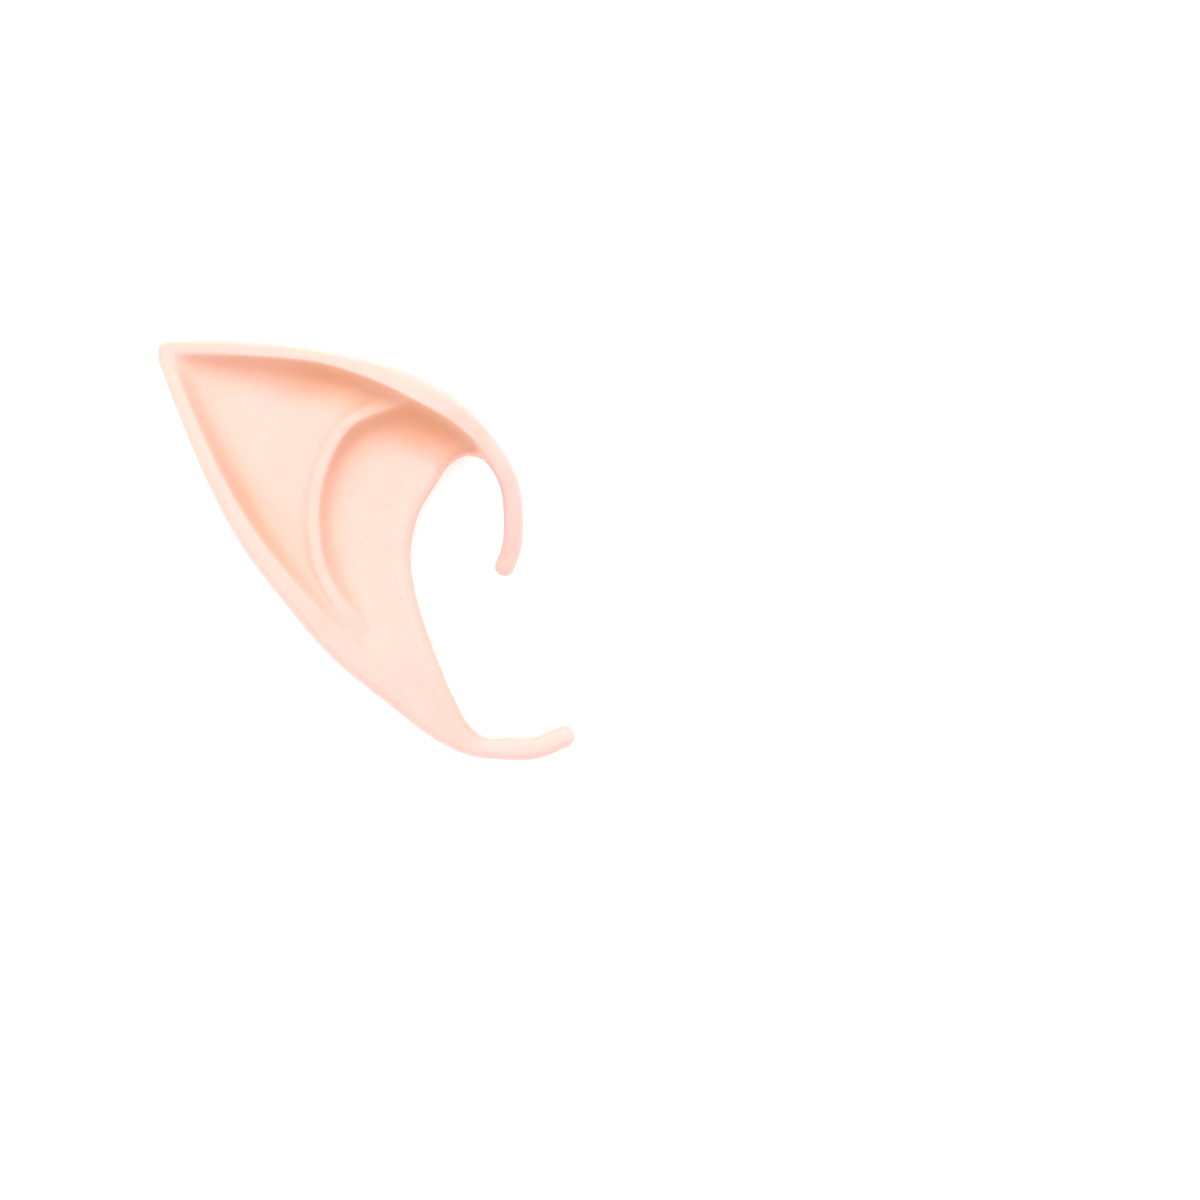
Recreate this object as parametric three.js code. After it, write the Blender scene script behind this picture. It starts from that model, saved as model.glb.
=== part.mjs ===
// Elf ear tip: one thin-walled latex ear that slips over the top of a real ear.
// It lies on its back. X runs across to the tails, Y up the ear, Z out of its face. Millimetres.
import * as THREE from 'three';

// Overall sizes
const EAR_WIDTH = 87.4;
const EAR_HEIGHT = 88.6;
const EAR_DEPTH = 25;

// Wall and rim
const WALL = 1.8;
const RIM_WIDTH = 5;
const RIM_LAND = 0.4;
const RIM_WALL_RUN = 14;

// Tails that hook round the top of the ear and under the lobe
const UPPER_TAIL_WIDTH = 4.1;
const LOWER_TAIL_WIDTH = 4.7;
const PLAIN_TAIL_WIDTH = 4.6;
const TAIL_BLEND = 2.4;

// Fold between the long valley and the bowl
const FOLD_RISE = 6;
const FOLD_BOWL_RUN = 11;
const FOLD_SWELL_RUN = 14;
const FOLD_RIDGE = 1.2;
const FOLD_RIDGE_WIDTH = 1.2;

// Open edge where the real ear goes in
const LIP_WIDTH = 3;
const LIP_DROP = 1.4;
const BOWL_DIP = 2.4;
const BOWL_DIP_RUN = 13;
const MOUTH_SETBACK = 5;
const MOUTH_SETBACK_SHARE = 0.5;

// Back
const BACK_ROLL = 9;
const TIP_LIFT = 5;
const TIP_REACH = 42;

// Steepness of the slopes, smaller is steeper at the top
const RIM_WALL_SHAPE = 0.021;
const FOLD_BOWL_SHAPE = 0.03;

// Roundness of the rim and the tails: 2 is a circle, more is flatter on top
const EDGE_ROUNDNESS = 2.6;

// Hollow
const NARROWEST_POCKET = 1;
const LEAST_POCKET_DEPTH = 0.3;

// Share of a tail's form at which the hollow is closed
const POCKET_CLOSE_TAIL = 0.45;

// Depth over which a shallow hollow goes over into a closed side
const SIDE_CLOSE_DEPTH = 3;

// Share of a tail's width that its closed inner side takes
const TAIL_SIDE = 0.15;

// Mesh steps
const CURVE_STEPS = 8;
const STATIONS = 76;
const STATION_LEAN = 0.15;
const FRONT_POINTS = 28;
const LIP_POINTS = 1;
const POCKET_FRONT_POINTS = 12;
const POCKET_BACK_POINTS = 7;
const BACK_POINTS = 12;
const DOME_RINGS = 3;
const FINE_STEPS = 160;
const POCKET_FINE_STEPS = 32;
const POCKET_SCAN_STEPS = 40;
const EVENING_PASSES = 3;
const SECTION_BEND_LENGTH = 2.2;
const OUTLINE_BEND_LENGTH = 7;
const TINY = 1e-6;

// Outer edge from the end of the upper tail over the helix to the tip.
// across, up: shares of the width and height. edge, crest: shares of the depth, at the outline
// and on top of the rim. rim: share of the rim width.
const UPPER_TAIL = [
  { across: 0.8536, up: 0.4526, edge: 0.150, crest: 0.235, rim: 0.44 },
  { across: 0.8720, up: 0.5010, edge: 0.270, crest: 0.360, rim: 0.44 },
  { across: 0.8785, up: 0.5675, edge: 0.405, crest: 0.505, rim: 0.44 },
  { across: 0.8685, up: 0.6630, edge: 0.550, crest: 0.675, rim: 0.44 },
];
const TOP_EDGE = [
  { across: 0.8216, up: 0.7524, edge: 0.64, crest: 0.82, rim: 0.54 },
  { across: 0.7495, up: 0.8360, edge: 0.66, crest: 0.95, rim: 0.74 },
  { across: 0.6580, up: 0.8990, edge: 0.64, crest: 1.00, rim: 0.88 },
  { across: 0.5570, up: 0.9400, edge: 0.58, crest: 0.96, rim: 0.74 },
  { across: 0.4125, up: 0.9735, edge: 0.50, crest: 0.82, rim: 0.48 },
  { across: 0.2440, up: 0.9957, edge: 0.44, crest: 0.68, rim: 0.50 },
  { across: 0.0998, up: 1.0000, edge: 0.38, crest: 0.57, rim: 0.44 },
  { across: 0.0420, up: 0.9995, edge: 0.35, crest: 0.51, rim: 0.40 },
];

// The two edges meet in a point that is rounded towards this corner
const TIP_CORNER = { across: -0.012, up: 1.005, edge: 0.34, crest: 0.50, rim: 0.40 };

// Outer edge from the tip down to the end of the lower tail, in the same columns
const LEFT_EDGE = [
  { across: 0.0043, up: 0.9430, edge: 0.33, crest: 0.50, rim: 0.40 },
  { across: 0.0600, up: 0.8010, edge: 0.31, crest: 0.56, rim: 0.48 },
  { across: 0.1250, up: 0.6515, edge: 0.30, crest: 0.61, rim: 0.60 },
  { across: 0.2010, up: 0.5130, edge: 0.30, crest: 0.64, rim: 0.72 },
  { across: 0.2980, up: 0.3850, edge: 0.28, crest: 0.63, rim: 0.80 },
  { across: 0.4226, up: 0.2430, edge: 0.26, crest: 0.545, rim: 0.90 },
  { across: 0.5580, up: 0.1340, edge: 0.24, crest: 0.47, rim: 1.00 },
  { across: 0.6660, up: 0.0526, edge: 0.21, crest: 0.424, rim: 0.90 },
  { across: 0.7430, up: 0.0164, edge: 0.19, crest: 0.36, rim: 0.70 },
];
const LOWER_TAIL = [
  { across: 0.8377, up: 0.0045, edge: 0.16, crest: 0.29, rim: 0.52 },
  { across: 0.9120, up: 0.0070, edge: 0.128, crest: 0.24, rim: 0.48 },
  { across: 0.9860, up: 0.0348, edge: 0.108, crest: 0.204, rim: 0.46 },
];

// Inner edge, a crescent round the bowl of the real ear. level: share of the depth, at the edge.
// dip: share of the bowl's dip, behind the edge.
const CRESCENT = [
  { across: 0.7920, up: 0.7060, level: 0.64, dip: 0.4 },
  { across: 0.7536, up: 0.7256, level: 0.56, dip: 0.8 },
  { across: 0.7075, up: 0.7073, level: 0.53, dip: 1.0 },
  { across: 0.6647, up: 0.6500, level: 0.51, dip: 1.0 },
  { across: 0.6274, up: 0.5860, level: 0.50, dip: 1.0 },
  { across: 0.6087, up: 0.4964, level: 0.50, dip: 1.0 },
  { across: 0.6202, up: 0.4017, level: 0.51, dip: 0.9 },
  { across: 0.6591, up: 0.2808, level: 0.51, dip: 0.4 },
  { across: 0.7115, up: 0.1552, level: 0.46, dip: 0.3 },
  { across: 0.7495, up: 0.0877, level: 0.40, dip: 0.1 },
  { across: 0.7873, up: 0.0585, level: 0.35, dip: 0.0 },
];

// Crest of the fold from under the helix down to where it dies out. rise: share of the fold's rise.
const FOLD = [
  { across: 0.5853, up: 0.8614, rise: 1.00 },
  { across: 0.4600, up: 0.8090, rise: 0.90 },
  { across: 0.3990, up: 0.7180, rise: 0.72 },
  { across: 0.3714, up: 0.5960, rise: 0.62 },
  { across: 0.3858, up: 0.4656, rise: 0.56 },
  { across: 0.4315, up: 0.3756, rise: 0.45 },
  { across: 0.4651, up: 0.3353, rise: 0.30 },
  { across: 0.4900, up: 0.2950, rise: 0.00 },
];

const clamp = (value, low, high) => Math.min(Math.max(value, low), high);
const mix = (a, b, share) => a + (b - a) * share;
const ease = (share) => THREE.MathUtils.smoothstep(share, 0, 1);

// A point of a path: its place in plan and its columns in millimetres
function place(row, sizes) {
  const point = { x: (row.across - 0.5) * EAR_WIDTH, y: (row.up - 0.5) * EAR_HEIGHT };
  for (const column of Object.keys(sizes)) {
    point[column] = row[column] * sizes[column];
  }
  return point;
}

function blend(a, b, share) {
  const point = {};
  for (const key of Object.keys(a)) {
    point[key] = mix(a[key], b[key], share);
  }
  return point;
}

// Smooth curve through the points (centripetal Catmull-Rom), carrying their columns along
function smoothPath(points) {
  const first = blend(points[0], points[1], -1);
  const last = blend(points.at(-1), points.at(-2), -1);
  const all = [first, ...points, last];
  const path = [];
  for (let i = 1; i < all.length - 2; i++) {
    const four = all.slice(i - 1, i + 3);
    const knots = [0];
    for (let j = 0; j < 3; j++) {
      const chord = Math.hypot(four[j + 1].x - four[j].x, four[j + 1].y - four[j].y);
      knots.push(knots[j] + Math.sqrt(chord));
    }
    for (let step = 0; step < CURVE_STEPS; step++) {
      const t = mix(knots[1], knots[2], step / CURVE_STEPS);
      let row = four;
      for (let span = 1; span <= 3; span++) {
        const lead = span === 3 ? 1 : 0;
        row = row.slice(1).map((point, j) => {
          const start = knots[j + lead];
          return blend(row[j], point, (t - start) / (knots[j + span - lead] - start));
        });
      }
      path.push(row[0]);
    }
  }
  path.push(points.at(-1));
  return path;
}

// A point on the inner side of a tail, level with its crest and without a dip
function acrossTail(points, index, width) {
  const before = points[Math.max(index - 1, 0)];
  const after = points[Math.min(index + 1, points.length - 1)];
  const run = Math.hypot(after.x - before.x, after.y - before.y);
  return {
    x: points[index].x - (after.y - before.y) / run * width,
    y: points[index].y + (after.x - before.x) / run * width,
    level: points[index].crest,
    dip: 0,
  };
}

// Paths in plan
const edgeSizes = { edge: EAR_DEPTH, crest: EAR_DEPTH, rim: RIM_WIDTH };
const topPoints = [...UPPER_TAIL, ...TOP_EDGE].map((row) => place(row, edgeSizes));
const leftPoints = [...LEFT_EDGE, ...LOWER_TAIL].map((row) => place(row, edgeSizes));
const tipPoint = place(TIP_CORNER, edgeSizes);
const topPath = smoothPath(topPoints);
const leftPath = smoothPath(leftPoints);
const tipRound = [];
for (let step = 1; step < CURVE_STEPS; step++) {
  const share = step / CURVE_STEPS;
  const before = blend(topPath.at(-1), tipPoint, share);
  tipRound.push(blend(before, blend(tipPoint, leftPath[0], share), share));
}
const outerPath = [...topPath, ...tipRound, ...leftPath];
const innerPath = smoothPath([
  ...UPPER_TAIL.map((row, i) => acrossTail(topPoints, i, UPPER_TAIL_WIDTH)),
  ...CRESCENT.map((row) => place(row, { level: EAR_DEPTH, dip: BOWL_DIP })),
  ...LOWER_TAIL.map((row, i) => acrossTail(leftPoints, LEFT_EDGE.length + i, LOWER_TAIL_WIDTH)),
]);
const topWallPath = [...topPath, tipPoint];
const leftWallPath = [tipPoint, ...leftPath];
const foldPath = smoothPath(FOLD.map((row) => place(row, { rise: FOLD_RISE })));

// Running length of a path at each of its points
function lengths(path) {
  const sums = [0];
  for (let i = 1; i < path.length; i++) {
    sums.push(sums[i - 1] + Math.hypot(path[i].x - path[i - 1].x, path[i].y - path[i - 1].y));
  }
  return sums;
}

function pointAt(path, sums, along) {
  let i = 1;
  while (i < path.length - 1 && sums[i] < along) i++;
  return blend(path[i - 1], path[i], (along - sums[i - 1]) / (sums[i] - sums[i - 1]));
}

const runs = new Map();
for (const path of [outerPath, innerPath, topWallPath, leftWallPath, foldPath]) {
  runs.set(path, lengths(path));
}

// Nearest point of a path: its distance, whether the place lies left of the path's travel, the
// running length and the columns there. An end can be taken as going straight on.
function nearest(path, x, y, longStart = false, longEnd = false) {
  const lastSpan = path.length - 2;
  let gapSquared = Infinity;
  let span = 0;
  let share = 0;
  let left = false;
  for (let i = 0; i <= lastSpan; i++) {
    const a = path[i];
    const b = path[i + 1];
    const dx = b.x - a.x;
    const dy = b.y - a.y;
    const px = x - a.x;
    const py = y - a.y;
    const low = longStart && i === 0 ? -Infinity : 0;
    const high = longEnd && i === lastSpan ? Infinity : 1;
    const along = Math.min(Math.max((px * dx + py * dy) / (dx * dx + dy * dy), low), high);
    const ex = px - along * dx;
    const ey = py - along * dy;
    const squared = ex * ex + ey * ey;
    if (squared < gapSquared) {
      gapSquared = squared;
      span = i;
      share = along;
      left = dx * ey - dy * ex > 0;
    }
  }
  const sums = runs.get(path);
  return {
    gap: Math.sqrt(gapSquared),
    left,
    along: mix(sums[span], sums[span + 1], share),
    at: blend(path[span], path[span + 1], clamp(share, 0, 1)),
  };
}

// Slope from 0 to 1 that starts steeply and ends in a long tail
function slope(share, shape) {
  const s = clamp(share, 0, 1);
  return s * s / (s * s + shape * (1 - s) * (1 - s));
}

// Height of a round edge, from 1 at the top to 0 at its side
function roundEdge(share) {
  return (1 - share ** EDGE_ROUNDNESS) ** (1 / EDGE_ROUNDNESS);
}

// Height of the fold above the floor: a ridge with a broad swell outside and a steep bowl inside
function foldHeight(x, y) {
  const fold = nearest(foldPath, x, y);
  const rise = fold.at.rise;
  if (fold.left) {
    return rise * (1 - slope((fold.gap - FOLD_RIDGE_WIDTH) / FOLD_BOWL_RUN, FOLD_BOWL_SHAPE));
  }
  const ridge = FOLD_RIDGE * ease(2 * rise / FOLD_RISE);
  const swell = (rise - ridge) * (1 - ease(fold.gap / FOLD_SWELL_RUN));
  return swell + ridge * Math.exp(-((fold.gap / FOLD_RIDGE_WIDTH) ** 2));
}

// Heights of the front and of the back over a point of the plan
function heights(x, y) {
  const inner = nearest(innerPath, x, y);
  const outer = nearest(outerPath, x, y);
  const top = nearest(topWallPath, x, y, false, true);
  const side = nearest(leftWallPath, x, y, true, false);
  const fromMouth = inner.left ? 0 : inner.gap;
  const fromEdge = outer.left ? outer.gap : 0;
  const { edge, crest, rim } = outer.at;

  const tail = 1 - ease((fromEdge + fromMouth - PLAIN_TAIL_WIDTH) / TAIL_BLEND);

  const topDrop = slope((top.gap - top.at.rim - RIM_LAND) / RIM_WALL_RUN, RIM_WALL_SHAPE);
  const sideDrop = slope((side.gap - side.at.rim - RIM_LAND) / RIM_WALL_RUN, RIM_WALL_SHAPE);
  const topHold = 1 - topDrop;
  const sideHold = 1 - sideDrop;
  const sideShare = sideHold / Math.max(topHold + sideHold, TINY);
  const rimLevel = mix(top.at.crest, side.at.crest, sideShare);
  const dip = inner.at.dip * ease(fromMouth / BOWL_DIP_RUN);
  const floor = inner.at.level - dip + foldHeight(x, y);
  const lip = LIP_DROP * clamp(1 - fromMouth / LIP_WIDTH, 0, 1) ** 2;
  const rimRound = roundEdge(1 - clamp(2 * fromEdge / rim, 0, 1));
  const bodyFront = mix(edge, mix(rimLevel, floor, topDrop * sideDrop), rimRound) - lip;

  const fromTip = Math.hypot(x - tipPoint.x, y - tipPoint.y);
  const land = TIP_LIFT * ease(1 - fromTip / TIP_REACH);
  const backRound = 1 - Math.sqrt(1 - (1 - clamp(fromEdge / BACK_ROLL, 0, 1)) ** 2);
  const bodyBack = mix(land, edge, backRound);

  const share = fromEdge / Math.max(fromEdge + fromMouth, TINY);
  const oval = (crest - edge) * roundEdge(Math.min(Math.abs(2 * share - 1), 1));
  return {
    front: mix(bodyFront, edge + oval, tail),
    back: mix(bodyBack, edge - oval, tail),
    tail,
  };
}

// Spreads points along a fine line, closer together where it bends
function spread(line, count, bendLength) {
  const weights = [0];
  for (let i = 1; i < line.length; i++) {
    const step = line[i].distanceTo(line[i - 1]);
    let bend = 0;
    if (i > 1) {
      const before = line[i - 1].clone().sub(line[i - 2]);
      bend = before.angleTo(line[i].clone().sub(line[i - 1]));
    }
    weights.push(weights[i - 1] + step + bendLength * bend);
  }
  const out = [];
  let i = 1;
  for (let n = 0; n < count; n++) {
    const target = weights.at(-1) * n / (count - 1);
    while (i < line.length - 1 && weights[i] < target) i++;
    const share = (target - weights[i - 1]) / (weights[i] - weights[i - 1]);
    out.push(line[i - 1].clone().lerp(line[i], clamp(share, 0, 1)));
  }
  return out;
}

// Sections: each runs from a point of the outer edge to one of the inner edge
function makeStation(outer, share) {
  const sums = runs.get(innerPath);
  const near = nearest(innerPath, outer.x, outer.y).along;
  const inner = pointAt(innerPath, sums, mix(near, share * sums.at(-1), STATION_LEAN));
  const width = Math.hypot(inner.x - outer.x, inner.y - outer.y);
  return { outer, inner, width, tail: heights(inner.x, inner.y).tail };
}

// The place in plan at a distance from a section's outer point
function placeOn(station, reach) {
  const share = reach / station.width;
  return [mix(station.outer.x, station.inner.x, share), mix(station.outer.y, station.inner.y, share)];
}

// A fine line of reach and height over a surface, from one reach to another
function sectionLine(station, from, to, fineSteps, height) {
  const line = [];
  for (let i = 0; i <= fineSteps; i++) {
    const turn = (1 - Math.cos(Math.PI * i / fineSteps)) / 2;
    const reach = mix(from, to, turn);
    line.push(new THREE.Vector2(reach, height(...placeOn(station, reach))));
  }
  return line;
}

// Points of a half oval from one point of a section to another, bulging towards the inner edge
function halfRound(start, end, bulge, count) {
  const middle = start.clone().lerp(end, 0.5);
  const arm = start.clone().sub(middle);
  const points = [];
  for (let i = 1; i <= count; i++) {
    const angle = Math.PI * i / (count + 1);
    const point = arm.clone().multiplyScalar(Math.cos(angle)).add(middle);
    point.x += bulge * Math.sin(angle);
    points.push(point);
  }
  return points;
}

// Points of a plain closed side with round corners, from the end of the front to that of the back
function plainSide(start, end, lip, count) {
  const corner = Math.min(lip, (start.y - end.y) / 2);
  const round = (from, step, drop) => {
    const angle = Math.PI / 2 * step / LIP_POINTS;
    return new THREE.Vector2(from.x + lip * Math.sin(angle), from.y - drop * (1 - Math.cos(angle)));
  };
  const top = round(start, LIP_POINTS, corner);
  const bottom = round(end, LIP_POINTS, -corner);
  const points = [];
  for (let i = 1; i <= count; i++) {
    const left = count + 1 - i;
    const share = (i - LIP_POINTS) / (count + 1 - 2 * LIP_POINTS);
    if (i <= LIP_POINTS) points.push(round(start, i, corner));
    else if (left <= LIP_POINTS) points.push(round(end, left, -corner));
    else points.push(top.clone().lerp(bottom, share));
  }
  return points;
}

// The closed inner side where the hollow ends, oval as a tail is
function closedSide(station, start, end, lip, count) {
  const first = Math.acos(1 - 2 * lip / station.width);
  return plainSide(start, end, lip, count).map((point, i) => {
    const angle = mix(first, -first, (i + 1) / (count + 1));
    const reach = station.width * (1 + Math.cos(angle)) / 2;
    const at = heights(...placeOn(station, reach));
    return point.lerp(new THREE.Vector2(reach, angle > 0 ? at.front : at.back), station.tail);
  });
}

// Surfaces one wall inside the front and the back: a ball of the wall's size rolls along them
const ballSteps = [new THREE.Vector3(0, 0, WALL)];
for (const tilt of [Math.PI / 4, Math.PI / 2]) {
  for (let i = 0; i < 8; i++) {
    const turn = Math.PI / 4 * i;
    const reach = WALL * Math.sin(tilt);
    const rise = WALL * Math.cos(tilt);
    ballSteps.push(new THREE.Vector3(reach * Math.cos(turn), reach * Math.sin(turn), rise));
  }
}
function insideHeights(x, y) {
  let front = Infinity;
  let back = -Infinity;
  for (const step of ballSteps) {
    const at = heights(x + step.x, y + step.y);
    front = Math.min(front, at.front - step.z);
    back = Math.max(back, at.back + step.z);
  }
  return { front, back };
}

// 1 where the ear is hollow behind its inner edge, 0 where a tail closes it
const openShare = (tail) => 1 - ease(tail / POCKET_CLOSE_TAIL);

// How near the hollow comes to a section's outer point before it gets too narrow
function solidReach(station) {
  let reach = station.width;
  for (let i = 0; i <= POCKET_SCAN_STEPS; i++) {
    const next = station.width * (1 - i / POCKET_SCAN_STEPS);
    const inside = insideHeights(...placeOn(station, next));
    if (inside.front - inside.back < NARROWEST_POCKET) break;
    reach = next;
  }
  return reach;
}

// The hollow's depth at every section, evened out along the ear and closed towards the tails
function pocketDepths(stations) {
  const safe = stations.map(solidReach);
  let reaches = safe.map((reach, i) => Math.max(...safe.slice(Math.max(i - 1, 0), i + 2)));
  for (let pass = 0; pass < EVENING_PASSES; pass++) {
    reaches = reaches.map((reach, i) => (
      (2 * reach + (reaches[i - 1] ?? reach) + (reaches[i + 1] ?? reach)) / 4));
  }
  return stations.map(({ width, tail }, i) => Math.max(width - reaches[i], 0) * openShare(tail));
}

// Closed loop round a section: front, lip, hollow, lip and back, or a closed side in the tails
function sectionLoop(station, pocketDepth) {
  const { width, tail } = station;
  const lip = Math.min(WALL / 2, TAIL_SIDE * width);
  const open = ease((pocketDepth - lip) / SIDE_CLOSE_DEPTH);
  const setback = Math.min(MOUTH_SETBACK, MOUTH_SETBACK_SHARE * width) * openShare(tail) * open;
  const frontEnd = width - lip;
  const backEnd = frontEnd - setback;
  const pocketEnd = Math.min(width - pocketDepth, backEnd - LEAST_POCKET_DEPTH);

  const line = (from, to, fineSteps, count, surface, side) => {
    const fine = sectionLine(station, from, to, fineSteps, (x, y) => surface(x, y)[side]);
    return spread(fine, count, SECTION_BEND_LENGTH);
  };
  const innerLine = (from, to, count, side) => (
    line(from, to, POCKET_FINE_STEPS, count, insideHeights, side));
  const front = line(0, frontEnd, FINE_STEPS, FRONT_POINTS, heights, 'front');
  const back = line(backEnd, 0, FINE_STEPS, BACK_POINTS, heights, 'back');
  const upper = innerLine(frontEnd, pocketEnd, POCKET_FRONT_POINTS, 'front');
  const lower = innerLine(pocketEnd, backEnd, POCKET_BACK_POINTS, 'back');
  const inside = [
    ...halfRound(front.at(-1), upper[0], lip, LIP_POINTS),
    ...upper,
    ...lower,
    ...halfRound(lower.at(-1), back[0], lip, LIP_POINTS),
  ];
  const side = closedSide(station, front.at(-1), back[0], lip, inside.length);
  const middle = side.map((point, i) => point.lerp(inside[i], open));
  return [...front, ...middle, ...back.slice(0, -1)]
    .map((point) => new THREE.Vector3(...placeOn(station, point.x), point.y));
}

// Skin between neighbouring loops, closed at both ends by a point
function loftSolid(loops, startPoint, endPoint) {
  const vertices = loops.flat();
  const count = loops[0].length;
  const faces = [];
  for (let i = 0; i < loops.length - 1; i++) {
    for (let j = 0; j < count; j++) {
      const a = i * count + j;
      const b = i * count + (j + 1) % count;
      faces.push(a, a + count, b, b, a + count, b + count);
    }
  }
  const start = vertices.push(startPoint) - 1;
  const end = vertices.push(endPoint) - 1;
  const lastLoop = (loops.length - 1) * count;
  for (let j = 0; j < count; j++) {
    const next = (j + 1) % count;
    faces.push(start, j, next, end, lastLoop + next, lastLoop + j);
  }
  const geometry = new THREE.BufferGeometry().setFromPoints(vertices);
  geometry.setIndex(faces);
  return geometry;
}

function centreOf(loop) {
  const sum = loop.reduce((total, point) => total.add(point), new THREE.Vector3());
  return sum.divideScalar(loop.length);
}

// Round end of a tail beyond its last loop
function domeLoops(loop, neighbour, radius) {
  const centre = centreOf(loop);
  const out = centre.clone().sub(centreOf(neighbour)).normalize();
  const rings = [];
  for (let ring = 1; ring <= DOME_RINGS; ring++) {
    const angle = Math.PI / 2 * ring / (DOME_RINGS + 1);
    const middle = centre.clone().addScaledVector(out, radius * Math.sin(angle));
    rings.push(loop.map((p) => p.clone().sub(centre).multiplyScalar(Math.cos(angle)).add(middle)));
  }
  return { rings, point: centre.clone().add(out.multiplyScalar(radius)) };
}

function makeEar() {
  const outline = outerPath.map((point) => new THREE.Vector3(point.x, point.y, 0));
  const stations = spread(outline, STATIONS, OUTLINE_BEND_LENGTH)
    .map((point, i) => makeStation(point, i / (STATIONS - 1)));
  const depths = pocketDepths(stations);
  const loops = stations.map((station, i) => sectionLoop(station, depths[i]));
  const upperDome = domeLoops(loops[0], loops[1], UPPER_TAIL_WIDTH / 2);
  const lowerDome = domeLoops(loops.at(-1), loops.at(-2), LOWER_TAIL_WIDTH / 2);
  const skins = [...upperDome.rings.reverse(), ...loops, ...lowerDome.rings];
  const geometry = loftSolid(skins, upperDome.point, lowerDome.point);
  geometry.computeVertexNormals();
  const latex = new THREE.MeshStandardMaterial({ color: 0xf7dccd, roughness: 0.6, metalness: 0 });
  const mesh = new THREE.Mesh(geometry, latex);
  mesh.name = 'ear_shell';
  return mesh;
}

// The origin is the middle of the ear's box, on the surface that its back rests on
const ear = new THREE.Group();
ear.add(makeEar());
const box = new THREE.Box3().setFromObject(ear);
const middle = box.getCenter(new THREE.Vector3());
ear.position.set(-middle.x, -middle.y, -box.min.z);

export default ear;
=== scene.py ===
"""Looks of the elf ear tip: one soft latex ear with a rim, a fold and two hooked tails."""
import math

import bpy
import numpy as np
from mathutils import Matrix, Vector


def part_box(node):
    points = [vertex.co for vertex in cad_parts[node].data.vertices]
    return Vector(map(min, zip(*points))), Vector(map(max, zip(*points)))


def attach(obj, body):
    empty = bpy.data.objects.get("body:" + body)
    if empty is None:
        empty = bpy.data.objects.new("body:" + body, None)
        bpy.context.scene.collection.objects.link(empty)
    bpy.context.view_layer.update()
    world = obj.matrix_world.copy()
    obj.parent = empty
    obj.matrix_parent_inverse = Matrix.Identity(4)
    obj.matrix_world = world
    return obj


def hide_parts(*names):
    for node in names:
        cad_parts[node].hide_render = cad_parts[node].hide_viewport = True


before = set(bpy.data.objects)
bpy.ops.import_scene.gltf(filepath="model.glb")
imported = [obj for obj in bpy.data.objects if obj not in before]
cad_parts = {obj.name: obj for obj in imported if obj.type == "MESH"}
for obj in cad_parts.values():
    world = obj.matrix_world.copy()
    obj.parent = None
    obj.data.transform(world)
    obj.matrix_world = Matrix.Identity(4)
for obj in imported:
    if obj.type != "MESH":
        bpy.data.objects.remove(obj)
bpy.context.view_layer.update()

NODE = "ear_shell"
MM = 0.001

# Sizes in millimetres, the same as the solid's
EAR_WIDTH = 87.4
EAR_HEIGHT = 88.6
EAR_DEPTH = 25.0
WALL = 1.8
RIM_WIDTH = 5.0
RIM_LAND = 0.4
RIM_WALL_RUN = 14.0
UPPER_TAIL_WIDTH = 4.1
LOWER_TAIL_WIDTH = 4.7
PLAIN_TAIL_WIDTH = 4.6
TAIL_BLEND = 2.4
EDGE_ROUNDNESS = 2.6
FOLD_RISE = 6.0
FOLD_BOWL_RUN = 11.0
FOLD_SWELL_RUN = 14.0
FOLD_RIDGE = 1.2
FOLD_RIDGE_WIDTH = 1.2
LIP_WIDTH = 3.0
LIP_DROP = 1.4
BOWL_DIP = 2.4
BOWL_DIP_RUN = 13.0
MOUTH_SETBACK = 5.0
MOUTH_SETBACK_SHARE = 0.5
BACK_ROLL = 9.0
TIP_LIFT = 5.0
TIP_REACH = 42.0
RIM_WALL_SHAPE = 0.021
FOLD_BOWL_SHAPE = 0.03

# Outer edge: across, up as shares of width and height; edge, crest of depth; rim of rim width
UPPER_TAIL = [
    (0.8536, 0.4526, 0.150, 0.235, 0.44),
    (0.8720, 0.5010, 0.270, 0.360, 0.44),
    (0.8785, 0.5675, 0.405, 0.505, 0.44),
    (0.8685, 0.6630, 0.550, 0.675, 0.44),
]
TOP_EDGE = [
    (0.8216, 0.7524, 0.64, 0.82, 0.54),
    (0.7495, 0.8360, 0.66, 0.95, 0.74),
    (0.6580, 0.8990, 0.64, 1.00, 0.88),
    (0.5570, 0.9400, 0.58, 0.96, 0.74),
    (0.4125, 0.9735, 0.50, 0.82, 0.48),
    (0.2440, 0.9957, 0.44, 0.68, 0.50),
    (0.0998, 1.0000, 0.38, 0.57, 0.44),
    (0.0420, 0.9995, 0.35, 0.51, 0.40),
]
TIP_CORNER = (-0.012, 1.005, 0.34, 0.50, 0.40)
LEFT_EDGE = [
    (0.0043, 0.9430, 0.33, 0.50, 0.40),
    (0.0600, 0.8010, 0.31, 0.56, 0.48),
    (0.1250, 0.6515, 0.30, 0.61, 0.60),
    (0.2010, 0.5130, 0.30, 0.64, 0.72),
    (0.2980, 0.3850, 0.28, 0.63, 0.80),
    (0.4226, 0.2430, 0.26, 0.545, 0.90),
    (0.5580, 0.1340, 0.24, 0.47, 1.00),
    (0.6660, 0.0526, 0.21, 0.424, 0.90),
    (0.7430, 0.0164, 0.19, 0.36, 0.70),
]
LOWER_TAIL = [
    (0.8377, 0.0045, 0.16, 0.29, 0.52),
    (0.9120, 0.0070, 0.128, 0.24, 0.48),
    (0.9860, 0.0348, 0.108, 0.204, 0.46),
]

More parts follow.
